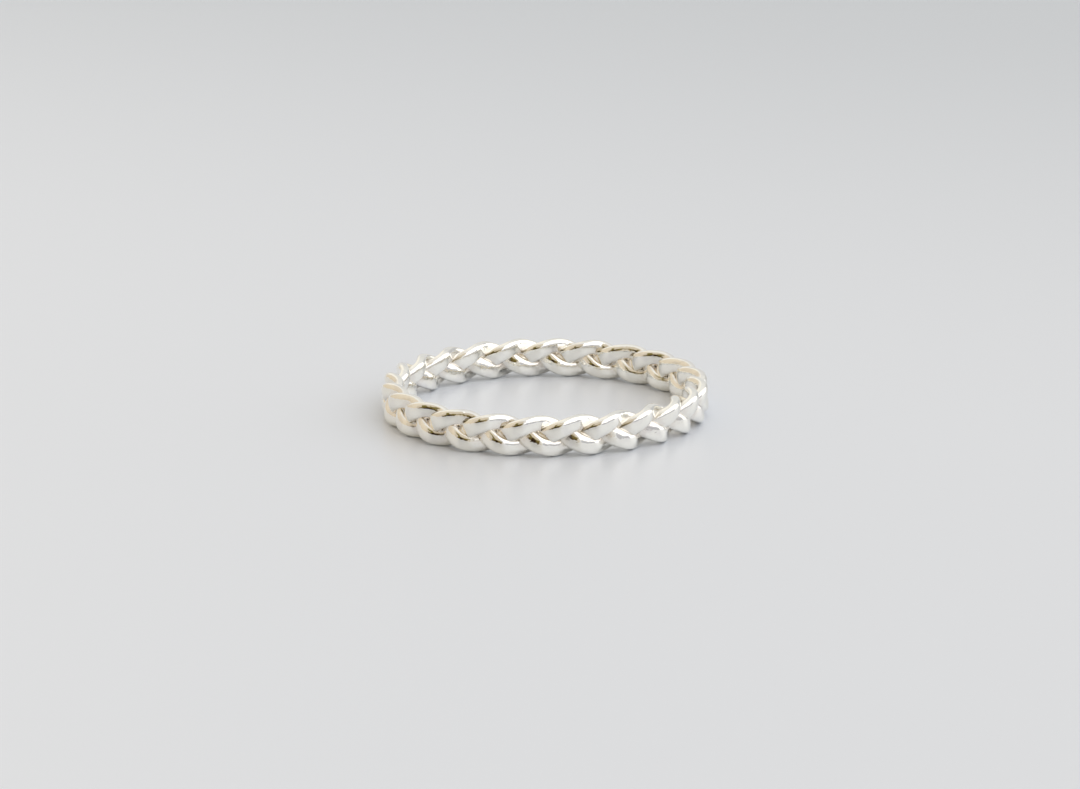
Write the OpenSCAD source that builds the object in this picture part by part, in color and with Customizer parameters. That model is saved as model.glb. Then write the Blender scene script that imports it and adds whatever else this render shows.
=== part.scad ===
// Braided band ring: a closed flat plait of three polished silver strands.
// It lies on its side: the finger hole runs along Z and the band rests on Z = 0.
// The front of the ring faces -Y. Ring angles start there and grow towards +X.

/* [Band] */
// Inside diameter of the band, the finger size
inside_d = 17.4; // [15.6:0.1:20]
// Width of the band along the finger
band_w = 2.45; // [2.3:0.05:2.8]
// Thickness of the band from its inner face to its outer face
band_t = 1.45; // [1.35:0.05:1.7]

/* [Plait] */
// Times that each strand goes from edge to edge and back in one turn of the band
waves = 8; // [7:1:9]
// Width of a strand across its flat face
strand_w = 1.02; // [0.9:0.01:1.06]
// Thickness of a strand
strand_t = 0.7; // [0.6:0.01:0.74]
// Squareness of a strand's section: 2 is an ellipse, and more is flatter with rounder shoulders
squareness = 2.7; // [2:0.1:3]
// Lean of a strand's flat face where it crosses the middle of the band, in degrees
lean = 9; // [0:1:20]
// Gap left between strands where they press on each other
gap = 0.04; // [0.03:0.005:0.06]
// Phase of the first strand at the front of the ring, in degrees
front_phase = 62; // [0:1:119]

/* [Facets] */
// Sections of a strand in each wave
sections_per_wave = 27; // [21:3:27]
// Sides of a strand's section
section_sides = 12; // [8:2:12]

/* [Hidden] */

strand_count = 3;
// Phase from one strand to the next, in degrees
strand_phase = 360 / strand_count;
// Ring angle from one strand to the next, which is one leaf of the plait
leaf_angle = 360 / (waves * strand_count);

half_w = strand_w / 2;
half_t = strand_t / 2;
mid_r = (inside_d + band_t) / 2;
// How far the strand's centre line swings towards each edge of the band
sway = (band_w - strand_w) / 2;
// How far it rises towards the outer face and sinks towards the inner one
rise = (band_t - strand_t) / 2;

section_count = waves * sections_per_wave;
// Phase and ring angle from one section to the next, in degrees
section_phase = 360 / sections_per_wave;
section_angle = 360 / section_count;
// A strand's first section is at the lower edge, where it rests on the base
base_phase = 270;
// Ring angle of that section on the first strand
base_angle = (front_phase - base_phase) / waves;
// Gap as a share of a strand's half thickness
gap_share = gap / half_t;
// Halvings of the search for the place where two strands press on each other
press_steps = 12;

function unit(v) = v / norm(v);
function sign_power(x, p) = sign(x) * pow(abs(x), p);

// Centre line of a strand at phase f. Phase 90 is the upper edge and 270 the lower one.
function centre_r(f) = mid_r - rise * sin(2 * f);
function centre_z(f) = sway * sin(f);

// Direction of the centre line as [along the ring, outwards, up]
function direction(f) = unit([centre_r(f), 2 * waves * rise * cos(2 * f), -waves * sway * cos(f)]);

// A strand leans outwards at its top on the way down, and at its bottom on the way up
function lean_at(f) = -lean * cos(f);

// Offset in the upright plane across the band, [outwards, up], from a place in the
// strand's own section, [across its flat face, through its thickness]
function to_plane(f, s) =
    let (
        d = direction(f),
        n = norm([d[0], d[1]]),
        t = lean_at(f),
        across = s[0] * cos(t) - s[1] * sin(t),
        through = s[0] * sin(t) + s[1] * cos(t),
        out = through * n / d[0]
    )
    [out, (across * n + d[2] * d[1] * out) / (n * n)];

// The same the other way round
function to_section(f, p) =
    let (
        d = direction(f),
        n = norm([d[0], d[1]]),
        t = lean_at(f),
        across = (n * n * p[1] - d[2] * d[1] * p[0]) / n,
        through = d[0] * p[0] / n
    )
    [across * cos(t) + through * sin(t), through * cos(t) - across * sin(t)];

// How far out an offset lies in the strand at phase f: 0 at its centre line, 1 on its free surface
function reach(f, p) =
    let (s = to_section(f, p))
    pow(pow(abs(s[0]) / half_w, squareness) + pow(abs(s[1]) / half_t, squareness), 1 / squareness);

// The least reach that an offset from the strand at phase f has in the two others
function reach_in_others(f, p) =
    min([
        for (k = [1 : strand_count - 1])
            let (g = f + k * strand_phase)
            reach(g, p + [centre_r(f) - centre_r(g), centre_z(f) - centre_z(g)])
    ]);

// Share of the offset p that is left once the other strands press on it, by halving low to high
function pressed_share(f, p, low = 0, high = 1, step = 0) =
    step == 0 && reach_in_others(f, p) >= 1 + gap_share ? 1
    : step == press_steps ? low
    : let (mid = (low + high) / 2)
      reach_in_others(f, p * mid) >= mid + gap_share
        ? pressed_share(f, p, mid, high, step + 1)
        : pressed_share(f, p, low, mid, step + 1);

// Offset of the strand's free surface at phase f, at v degrees round its section
function free_offset(f, v) =
    to_plane(f, [
        half_w * sign_power(cos(v), 2 / squareness),
        half_t * sign_power(sin(v), 2 / squareness)
    ]);

// Outline of a strand where an upright plane cuts it at phase f, as [radius, height] points.
// Each point gives way to the tightest press within half a section, so that flat facets stay clear too.
function section_outline(f) = [
    for (i = [0 : section_sides - 1])
        let (
            v = i * 360 / section_sides,
            shares = [
                for (g = [f - section_phase / 2, f, f + section_phase / 2])
                    pressed_share(g, free_offset(g, v))
            ],
            p = free_offset(f, v) * min(shares)
        )
        [centre_r(f) + p[0], band_w / 2 + centre_z(f) + p[1]]
];

// One wave of sections, which every strand repeats
wave_outlines = [
    for (i = [0 : sections_per_wave - 1])
        section_outline(base_phase - i * section_phase)
];

function on_ring(angle, point) = [point[0] * sin(angle), -point[0] * cos(angle), point[1]];

// One endless strand, turned round the ring by a number of leaves
module strand(leaves) {
    points = [
        for (i = [0 : section_count - 1])
            for (point = wave_outlines[i % sections_per_wave])
                on_ring(base_angle + i * section_angle + leaves * leaf_angle, point)
    ];
    faces = [
        for (i = [0 : section_count - 1])
            for (j = [0 : section_sides - 1])
                let (
                    here = i * section_sides,
                    next = (i + 1) % section_count * section_sides,
                    k = (j + 1) % section_sides
                )
                each [[here + j, next + k, here + k], [here + j, next + j, next + k]]
    ];
    polyhedron(points, faces);
}

module strand_1() {
    color("gainsboro") strand(0);
}

module strand_2() {
    color("silver") strand(1);
}

module strand_3() {
    color("lightgray") strand(2);
}

strand_1();
strand_2();
strand_3();
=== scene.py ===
"""Braided band ring: a closed flat plait of three polished silver strands, on its side on a pale floor."""

from math import atan2, cos, hypot, pi, radians, sin

import bpy
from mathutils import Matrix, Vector


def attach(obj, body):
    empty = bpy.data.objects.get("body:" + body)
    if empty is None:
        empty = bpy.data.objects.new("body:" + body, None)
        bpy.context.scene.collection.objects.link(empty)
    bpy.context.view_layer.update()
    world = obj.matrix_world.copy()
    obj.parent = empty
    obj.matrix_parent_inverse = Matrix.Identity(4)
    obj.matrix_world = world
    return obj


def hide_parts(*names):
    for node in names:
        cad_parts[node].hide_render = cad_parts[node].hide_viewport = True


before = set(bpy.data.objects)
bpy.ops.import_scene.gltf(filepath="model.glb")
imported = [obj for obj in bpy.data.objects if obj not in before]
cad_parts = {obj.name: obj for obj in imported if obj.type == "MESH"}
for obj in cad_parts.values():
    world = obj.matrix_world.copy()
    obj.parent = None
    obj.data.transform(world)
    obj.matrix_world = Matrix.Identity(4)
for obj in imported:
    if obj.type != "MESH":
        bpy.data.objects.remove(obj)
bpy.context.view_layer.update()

MM = 0.001

# The band
BAND_W = 2.45 * MM
BAND_T = 1.45 * MM
INSIDE_R = 8.7 * MM
OUTSIDE_R = INSIDE_R + BAND_T
MID_R = INSIDE_R + BAND_T / 2
MID_Z = BAND_W / 2
# The middle of the band at the front, where each section of a strand is shaped before it goes to its place
FRONT = Vector((0, -MID_R, MID_Z))

# The plait: three strands, each with eight waves in one turn of the band
STRANDS = 3
WAVES = 8
STRAND_W = 1.02 * MM
STRAND_T = 0.70 * MM
# How much wider a strand is where it passes from one face to the other, pressed out by the two beside it,
# and how fast that fades along the strand
PRESSED_WIDER = 0.14
PRESSED_FADE = 4
LEAN = radians(9)
FRONT_PHASE = radians(62)
# The phase at which a strand lies at the lower edge of the band
LOWEST_PHASE = radians(270)
LEAF_ANGLE = 2 * pi / (WAVES * STRANDS)
SWAY = (BAND_W - STRAND_W) / 2
RISE = (BAND_T - STRAND_T) / 2

# How a strand is laid out before it is smoothed
SECTIONS = 20
SECTION_POINTS = 32
SQUARENESS = 2.8
SMOOTHING = 2
# How near a point's angle has to be to a shoulder's to belong to it
SHOULDER_SLACK = 0.01
# Points of two waves that lie nearer than this are made one
WAVE_MERGE = 0.001 * MM


def kept(step):
    """Share of a wave's height that smoothing keeps, where a point is laid at each step of the wave."""
    return (2 + cos(step)) / 3


SECTION_STEP = 2 * pi / SECTIONS
LAID_SWAY = SWAY / kept(SECTION_STEP)
LAID_RISE = RISE / kept(2 * SECTION_STEP)
LAID_HALF_W = STRAND_W / 2 / kept(2 * pi / SECTION_POINTS)
LAID_HALF_T = STRAND_T / 2 / kept(2 * pi / SECTION_POINTS)


# Hand tools

def pick_nothing():
    for thing in bpy.context.selected_objects:
        thing.select_set(False)


def pick(*things):
    pick_nothing()
    for thing in things:
        thing.select_set(True)
    bpy.context.view_layer.objects.active = things[0]


def turn(angle, axis, about):
    """Turns what is picked by a right-hand angle. With no window the tool turns the other way."""
    bpy.ops.transform.rotate(value=-angle, orient_axis=axis, center_override=about)


def settle(thing):
    """Puts the place, turn and scale of a piece into its mesh."""
    pick(thing)
    bpy.ops.object.transform_apply(location=True, rotation=True, scale=True)


def apply_all(thing):
    pick(thing)
    for modifier in list(thing.modifiers):
        bpy.ops.object.modifier_apply(modifier=modifier.name)


def turned_copy(thing, angle, name):
    """A copy with its own mesh, turned about the finger hole."""
    pick(thing)
    bpy.ops.object.duplicate(linked=False)
    copy = bpy.context.object
    copy.name = copy.data.name = name
    turn(angle, "Z", (0, 0, 0))
    settle(copy)
    return copy


# The strand's course

def course(phase):
    """Which way a strand heads, outwards and upwards, at a phase of its wave."""
    along = MID_R - RISE * sin(2 * phase)
    outwards = 2 * WAVES * RISE * cos(2 * phase)
    upwards = -WAVES * SWAY * cos(phase)
    return atan2(outwards, along), atan2(upwards, hypot(along, outwards))


def lay_section(phase, ring_angle):
    """Copies the picked ring of points, leans and heads it along the strand, and moves it to its place."""
    heading, climb = course(phase)
    bpy.ops.mesh.duplicate()
    widening = 1 + PRESSED_WIDER * cos(phase) ** PRESSED_FADE
    bpy.ops.transform.resize(value=(1, 1, widening), center_override=FRONT)
    turn(-LEAN * cos(phase), "X", FRONT)
    turn(-climb, "Y", FRONT)
    turn(-heading, "Z", FRONT)
    bpy.ops.transform.translate(value=(0, LAID_RISE * sin(2 * phase), LAID_SWAY * sin(phase)))
    turn(ring_angle, "Z", (0, 0, 0))


def pick_first(mesh_object, count):
    """In edit mode, picks only the first points, up to a count."""
    bpy.ops.mesh.select_all(action="DESELECT")
    bpy.ops.object.mode_set(mode="OBJECT")
    for vertex in mesh_object.data.vertices:
        vertex.select = vertex.index < count
    for edge in mesh_object.data.edges:
        edge.select = all(index < count for index in edge.vertices)
    bpy.ops.object.mode_set(mode="EDIT")


def one_wave():
    """One wave of a strand, from the lower edge of the band up to the upper one and back."""
    pick_nothing()
    bpy.ops.mesh.primitive_circle_add(
        vertices=SECTION_POINTS, radius=LAID_HALF_W, location=FRONT, rotation=(0, pi / 2, 0)
    )
    wave = bpy.context.object
    wave.name = wave.data.name = "wave"
    settle(wave)
    bpy.ops.object.mode_set(mode="EDIT")
    # The shoulders between the flat faces and the narrow sides are pushed out, the middle of each the most
    for step in range(1, SECTION_POINTS // 8 + 1):
        shoulder_angle = step * 2 * pi / SECTION_POINTS
        push = (cos(shoulder_angle) ** SQUARENESS + sin(shoulder_angle) ** SQUARENESS) ** (-1 / SQUARENESS)
        bpy.ops.mesh.select_all(action="DESELECT")
        bpy.ops.object.mode_set(mode="OBJECT")
        for vertex in wave.data.vertices:
            off = vertex.co - FRONT
            less, more = sorted((abs(off.y), abs(off.z)))
            vertex.select = abs(atan2(less, more) - shoulder_angle) < SHOULDER_SLACK
        bpy.ops.object.mode_set(mode="EDIT")
        bpy.ops.transform.resize(value=(push,) * 3, center_override=FRONT)
    bpy.ops.mesh.select_all(action="SELECT")
    bpy.ops.transform.resize(value=(1, LAID_HALF_T / LAID_HALF_W, 1), center_override=FRONT)
    # Ring angles grow from the front towards +X, while the phase falls
    start_angle = (FRONT_PHASE - LOWEST_PHASE) / WAVES
    for section in range(SECTIONS + 1):
        pick_first(wave, SECTION_POINTS)
        turned = section * SECTION_STEP
        lay_section(LOWEST_PHASE - turned, start_angle + turned / WAVES)
    pick_first(wave, SECTION_POINTS)
    bpy.ops.mesh.delete(type="VERT")
    bpy.ops.mesh.select_all(action="SELECT")
    bpy.ops.mesh.bridge_edge_loops(type="SINGLE")
    bpy.ops.object.mode_set(mode="OBJECT")
    return wave


def endless_strand():
    """Eight waves joined end to end round the finger hole, closed and smoothed."""
    first = one_wave()
    rest = [turned_copy(first, 2 * pi / WAVES * k, f"wave_{k}") for k in range(1, WAVES)]
    pick(first, *rest)
    bpy.ops.object.join()
    strand = bpy.context.object
    bpy.ops.object.mode_set(mode="EDIT")
    bpy.ops.mesh.select_all(action="SELECT")
    bpy.ops.mesh.remove_doubles(threshold=WAVE_MERGE)
    bpy.ops.mesh.normals_make_consistent(inside=False)
    bpy.ops.object.mode_set(mode="OBJECT")
    smoothing = strand.modifiers.new("smoothing", "SUBSURF")
    smoothing.levels = smoothing.render_levels = SMOOTHING
    apply_all(strand)
    return strand


# How near another strand has to be for the painted crevice shade to reach
CREVICE_REACH = 0.16 * MM


def mark_crevices(strand, beside):
    """Notes on each point of a strand how near the next strands are: 0 in the open, 1 where they touch."""
    shares = []
    for vertex in strand.data.vertices:
        gap = CREVICE_REACH
        for other in beside:
            _, place, outwards, _ = other.closest_point_on_mesh(vertex.co)
            off = vertex.co - place
            gap = min(gap, 0 if off.dot(outwards) < 0 else off.length)
        shares.append(1 - gap / CREVICE_REACH)
    strand.data.attributes.new("crevice", "FLOAT", "POINT").data.foreach_set("value", shares)


# Edges of a dent that are sharper than this keep a crisp line
CRISP_ANGLE = radians(35)
# Points of a dent's edge that lie nearer than this are made one
DENT_MERGE = 0.0005 * MM


def dent(strand, other):
    """Hollows a strand where another presses into it, so that they touch and neither runs into the other."""
    pressed = strand.modifiers.new("pressed", "BOOLEAN")
    pressed.operation = "DIFFERENCE"
    pressed.solver = "MANIFOLD"
    pressed.object = other
    apply_all(strand)
    bpy.ops.object.mode_set(mode="EDIT")
    bpy.ops.mesh.select_all(action="SELECT")
    bpy.ops.mesh.remove_doubles(threshold=DENT_MERGE)
    bpy.ops.object.mode_set(mode="OBJECT")
    bpy.ops.object.shade_smooth_by_angle(angle=CRISP_ANGLE)


def plait():
    """Three strands that are the same, each one leaf further round the finger hole and dented by the next."""
    strand = endless_strand()
    strand.name = strand.data.name = "silver_strand_1"
    before, after = beside = [turned_copy(strand, side * LEAF_ANGLE, f"beside_{side}") for side in (-1, 1)]
    dent(strand, after)
    mark_crevices(strand, beside)
    pick(before, after)
    bpy.ops.object.delete()
    others = [turned_copy(strand, k * LEAF_ANGLE, f"silver_strand_{k + 1}") for k in range(1, STRANDS)]
    return [strand] + others


pieces = plait()


# Finishes

def work(tree, operation, *terms):
    """A Math node on numbers or sockets, and its result."""
    new = tree.nodes.new("ShaderNodeMath")
    new.operation = operation
    for socket, term in zip(new.inputs, terms):
        if isinstance(term, (int, float)):
            socket.default_value = term
        else:
            tree.links.new(term, socket)
    return new.outputs[0]


def distance(tree, one_way, other_way):
    """How far off something is that is off by so much in two directions."""
    squares = [work(tree, "MULTIPLY", off, off) for off in (one_way, other_way)]
    return work(tree, "SQRT", work(tree, "ADD", *squares))


def fade(tree, value, nothing, full):
    """0 where the value is at nothing, 1 where it is at full, and smooth between them."""
    new = tree.nodes.new("ShaderNodeMapRange")
    new.interpolation_type = "SMOOTHSTEP"
    tree.links.new(value, new.inputs["Value"])
    new.inputs["From Min"].default_value = nothing
    new.inputs["From Max"].default_value = full
    return new.outputs["Result"]


def blend(tree, share, under, over):
    """Colour under, with the colour over laid on it by a share."""
    new = tree.nodes.new("ShaderNodeMix")
    new.data_type = "RGBA"
    tree.links.new(share, new.inputs[0])
    for socket, colour in ((new.inputs[6], under), (new.inputs[7], over)):
        if isinstance(colour, tuple):
            socket.default_value = (*colour, 1)
        else:
            tree.links.new(colour, socket)
    return new.outputs[2]


def place_on_piece(tree):
    """The piece's own coordinates, one by one."""
    place = tree.nodes.new("ShaderNodeSeparateXYZ")
    tree.links.new(tree.nodes.new("ShaderNodeTexCoord").outputs["Object"], place.inputs[0])
    return place.outputs


def mottle(tree, size, detail=2.0, stretch=(1, 1, 1)):
    """An uneven grey on the piece's own coordinates, with spots of about the given size."""
    place = tree.nodes.new("ShaderNodeMapping")
    place.inputs["Scale"].default_value = [share / size for share in stretch]
    tree.links.new(tree.nodes.new("ShaderNodeTexCoord").outputs["Object"], place.inputs["Vector"])
    new = tree.nodes.new("ShaderNodeTexNoise")
    new.inputs["Scale"].default_value = 1
    new.inputs["Detail"].default_value = detail
    tree.links.new(place.outputs["Vector"], new.inputs["Vector"])
    return new.outputs["Fac"]


def raised(tree, height, distance, under=None):
    """A bump whose height is in metres, laid over another."""
    new = tree.nodes.new("ShaderNodeBump")
    new.inputs["Distance"].default_value = distance
    tree.links.new(height, new.inputs["Height"])
    if under:
        tree.links.new(under, new.inputs["Normal"])
    return new.outputs["Normal"]


BRIGHT_SILVER = (0.955, 0.94, 0.88)
# Painted shade, with a warm painted reflection tint, near the next strand and deep in the band, and unevenly.
# Each pair is where it begins and where it is full.
CREVICE_SHADE_COLOUR = (0.72, 0.635, 0.575)
CREVICE_SHADE_SHARE = 0.28
SHELTERED = (0.6, 1.1)
SUNKEN = (0.2, 0.45)
PATCH_SIZE, PATCH_SHARE = 0.3 * MM, 0.4
# Faint clouds that daily wear leaves on the polish
CLOUDED_SILVER = (0.80, 0.775, 0.765)
CLOUDED_SHARE = 0.4
CLOUDED = (0.48, 0.66)
CLOUD_SIZE = 0.9 * MM
# Roughness of the best polish, what wear adds to it in places, and what is added where the crevice shade is
# painted
POLISH_ROUGHNESS, WEAR_ROUGHNESS, CREVICE_ROUGHNESS = 0.035, 0.05, 0.12
WEAR_SIZE = 0.6 * MM
# What hand work leaves: swells, ripples on them and fine scratches
SWELL_SIZE, SWELL_HEIGHT = 0.7 * MM, 0.017 * MM
RIPPLE_SIZE, RIPPLE_HEIGHT = 0.25 * MM, 0.011 * MM
SCRATCH_SIZE, SCRATCH_HEIGHT, SCRATCH_STRETCH = 0.05 * MM, 0.0003 * MM, (0.3, 1, 1)


def depth_in_band(tree):
    """How deep a point lies in the band's oval section: 0 at its outside and 1 in its middle."""
    x, y, z = place_on_piece(tree)
    out = work(tree, "DIVIDE", work(tree, "SUBTRACT", distance(tree, x, y), MID_R), BAND_T / 2)
    up = work(tree, "DIVIDE", work(tree, "SUBTRACT", z, MID_Z), BAND_W / 2)
    return work(tree, "SUBTRACT", 1, distance(tree, out, up))


def polished_silver():
    """Hand-polished silver: a little uneven and finely scratched, with painted shade and a warm painted
    reflection tint in the crevices and deep in the band.
    """
    silver = bpy.data.materials.new("polished silver")
    silver.use_nodes = True
    tree = silver.node_tree
    shader = tree.nodes["Principled BSDF"]
    shader.inputs["Metallic"].default_value = 1
    crevice = tree.nodes.new("ShaderNodeAttribute")
    crevice.attribute_name = "crevice"
    patches = work(tree, "MULTIPLY_ADD", mottle(tree, PATCH_SIZE), PATCH_SHARE, -PATCH_SHARE / 2)
    # Painted shade and painted reflection: a mask near the next strand and deep in the band, with an uneven
    # edge
    sheltered = fade(tree, work(tree, "ADD", crevice.outputs["Fac"], patches), *SHELTERED)
    sunken = fade(tree, work(tree, "ADD", depth_in_band(tree), patches), *SUNKEN)
    crevice_shade = work(tree, "MAXIMUM", sheltered, sunken)
    cloudy = fade(tree, mottle(tree, CLOUD_SIZE, detail=3.0), *CLOUDED)
    polish = blend(tree, work(tree, "MULTIPLY", cloudy, CLOUDED_SHARE), BRIGHT_SILVER, CLOUDED_SILVER)
    # The painted crevice shade and its warm painted reflection tint laid over the silver's colour
    colour = blend(tree, work(tree, "MULTIPLY", crevice_shade, CREVICE_SHADE_SHARE), polish, CREVICE_SHADE_COLOUR)
    tree.links.new(colour, shader.inputs["Base Color"])
    worn = work(tree, "MULTIPLY_ADD", mottle(tree, WEAR_SIZE), WEAR_ROUGHNESS, POLISH_ROUGHNESS)
    # More roughness where the crevice shade is painted
    tree.links.new(work(tree, "MULTIPLY_ADD", crevice_shade, CREVICE_ROUGHNESS, worn), shader.inputs["Roughness"])
    swells = raised(tree, mottle(tree, SWELL_SIZE, detail=1.0), SWELL_HEIGHT)
    ripples = raised(tree, mottle(tree, RIPPLE_SIZE, detail=1.0), RIPPLE_HEIGHT, swells)
    scratches = raised(tree, mottle(tree, SCRATCH_SIZE, stretch=SCRATCH_STRETCH), SCRATCH_HEIGHT, ripples)
    tree.links.new(scratches, shader.inputs["Normal"])
    return silver


# The floor's colour is painted darker towards the back, and more so to the right: painted shade where less
# light falls
FLOOR_NEAR, FLOOR_FAR = (0.745, 0.778, 0.838), (0.55, 0.588, 0.64)
FLOOR_NEAR_Y, FLOOR_FAR_Y = 0.0, 0.22
FLOOR_TO_RIGHT = 0.6
FLOOR_ROUGHNESS, FLOOR_IOR = 0.33, 1.8
FLOOR_SIDE = 2.0


def satin_floor():
    satin = bpy.data.materials.new("pale satin")
    satin.use_nodes = True
    tree = satin.node_tree
    shader = tree.nodes["Principled BSDF"]
    x, y, _ = place_on_piece(tree)
    # Painted shade: the share of the darker floor colour grows towards the back and to the right
    depth = fade(tree, work(tree, "MULTIPLY_ADD", x, FLOOR_TO_RIGHT, y), FLOOR_NEAR_Y, FLOOR_FAR_Y)
    tree.links.new(blend(tree, depth, FLOOR_NEAR, FLOOR_FAR), shader.inputs["Base Color"])
    shader.inputs["Roughness"].default_value = FLOOR_ROUGHNESS
    shader.inputs["IOR"].default_value = FLOOR_IOR
    return satin


silver = polished_silver()
for k, piece in enumerate(pieces):
    piece.data.materials.clear()
    piece.data.materials.append(silver)
    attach(piece, "root")
    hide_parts(f"strand_{k + 1}")


# The studio

pick_nothing()
bpy.ops.mesh.primitive_plane_add(size=FLOOR_SIDE, location=(0, 0, 0))
floor = bpy.context.object
floor.name = floor.data.name = "floor"
floor.data.materials.append(satin_floor())

# Soft light round the ring, brighter overhead. All angles are in degrees.
BACKDROP = (0.74, 0.74, 0.73)
OVERHEAD = (0.90, 0.89, 0.87)
OVERHEAD_FROM, OVERHEAD_FULL = 25, 75
# Azimuth 0 is behind the ring, 90 to its right and 180 behind the camera. A pane leans by so many degrees to
# the side for each degree up, its edge is soft by so much, and its colour goes from low to high.
PANES = {
    "warm wall": dict(azimuth=-82, elevation=25, half_width=45, half_height=42, lean=0, edge=12,
                      low=(0.72, 0.62, 0.48), high=(0.80, 0.71, 0.58)),
    "cream glow": dict(azimuth=-22, elevation=42, half_width=14, half_height=24, lean=0, edge=8,
                       low=(1.0, 0.96, 0.88), high=(0.97, 0.94, 0.87)),
    "grey corner": dict(azimuth=42, elevation=14, half_width=15, half_height=19, lean=0.5, edge=5,
                        low=(0.55, 0.55, 0.56), high=(0.61, 0.61, 0.62)),
    "dim room": dict(azimuth=-152, elevation=32, half_width=33, half_height=36, lean=0, edge=7,
                     low=(0.60, 0.52, 0.42), high=(0.68, 0.60, 0.47)),
    "window": dict(azimuth=113, elevation=38, half_width=56, half_height=37, lean=0, edge=2.5,
                   low=(1.37, 1.37, 1.38), high=(1.52, 1.52, 1.52)),
    "window sill": dict(azimuth=130, elevation=4, half_width=38, half_height=10, lean=0, edge=3,
                        low=(0.47, 0.465, 0.49), high=(0.56, 0.56, 0.59)),
    "dark curtain": dict(azimuth=-141, elevation=28, half_width=8, half_height=18, lean=0.5, edge=3,
                         low=(0.05, 0.035, 0.02), high=(0.27, 0.22, 0.07)),
    "dark shelf": dict(azimuth=-155, elevation=9, half_width=24, half_height=12, lean=-0.8, edge=2.5,
                       low=(0.07, 0.045, 0.02), high=(0.24, 0.19, 0.06)),
    "dark gap": dict(azimuth=-152, elevation=9, half_width=8, half_height=8, lean=-0.8, edge=3,
                     low=(0.015, 0.008, 0.005), high=(0.05, 0.03, 0.015)),
}
# How far the edges of the panes waver, and how often round the room
WAVER, WAVER_SCALE = 5, 3.5
HALF_TURN = 180


def hang_pane(tree, azimuth, elevation, waver, room, pane):
    """The room's colour with a pane laid on it."""
    lean, edge = pane["lean"], pane["edge"]

    def within(off, half_size):
        return fade(tree, work(tree, "ADD", off, waver), half_size + edge, half_size - edge)

    leaning = work(tree, "MULTIPLY_ADD", elevation, -lean, azimuth)
    off_middle = work(tree, "SUBTRACT", leaning, pane["azimuth"] - lean * pane["elevation"])
    beside = work(tree, "ABSOLUTE", work(tree, "WRAP", off_middle, HALF_TURN, -HALF_TURN))
    above = work(tree, "ABSOLUTE", work(tree, "SUBTRACT", elevation, pane["elevation"]))
    inside = work(tree, "MULTIPLY", within(beside, pane["half_width"]), within(above, pane["half_height"]))
    bottom, top = pane["elevation"] - pane["half_height"], pane["elevation"] + pane["half_height"]
    colour = blend(tree, fade(tree, elevation, bottom, top), pane["low"], pane["high"])
    return blend(tree, inside, room, colour)


def lit_room():
    world = bpy.data.worlds.new("soft studio")
    bpy.context.scene.world = world
    world.use_nodes = True
    tree = world.node_tree
    direction = tree.nodes.new("ShaderNodeTexCoord").outputs["Generated"]
    split = tree.nodes.new("ShaderNodeSeparateXYZ")
    tree.links.new(direction, split.inputs[0])
    x, y, z = split.outputs
    elevation = work(tree, "DEGREES", work(tree, "ARCSINE", z))
    azimuth = work(tree, "DEGREES", work(tree, "ARCTAN2", x, y))
    uneven = tree.nodes.new("ShaderNodeTexNoise")
    uneven.inputs["Scale"].default_value = WAVER_SCALE
    tree.links.new(direction, uneven.inputs["Vector"])
    waver = work(tree, "MULTIPLY_ADD", uneven.outputs["Fac"], 2 * WAVER, -WAVER)
    room = blend(tree, fade(tree, elevation, OVERHEAD_FROM, OVERHEAD_FULL), BACKDROP, OVERHEAD)
    for pane in PANES.values():
        room = hang_pane(tree, azimuth, elevation, waver, room, pane)
    tree.links.new(room, tree.nodes["Background"].inputs["Color"])


lit_room()

# The camera stands where the photo was taken from. The photo's width is in pixels.
PHOTO_W = 1080
SENSOR_W = 36
CAMERA_ELEVATION = radians(15.05)
CAMERA_FROM = 20 * OUTSIDE_R
CAMERA_ROLL = radians(0.19)
PIXELS_PER_MM = 16.12
RING_X_IN_PHOTO = 545.1
SEEN_FROM, SEEN_TO = 0.01, 10


def camera_at_photo():
    data = bpy.data.cameras.new("camera")
    camera = bpy.data.objects.new("camera", data)
    bpy.context.scene.collection.objects.link(camera)
    bpy.context.scene.camera = camera
    data.sensor_width = SENSOR_W
    data.lens = PIXELS_PER_MM / MM * CAMERA_FROM / PHOTO_W * SENSOR_W
    data.shift_x = (PHOTO_W / 2 - RING_X_IN_PHOTO) / PHOTO_W
    data.clip_start, data.clip_end = SEEN_FROM, SEEN_TO
    camera.location = (0, -CAMERA_FROM * cos(CAMERA_ELEVATION), MID_Z + CAMERA_FROM * sin(CAMERA_ELEVATION))
    camera.rotation_euler = (pi / 2 - CAMERA_ELEVATION, 0, 0)
    camera.rotation_euler.rotate_axis("Z", -CAMERA_ROLL)


camera_at_photo()
bpy.context.scene.view_settings.view_transform = "Standard"
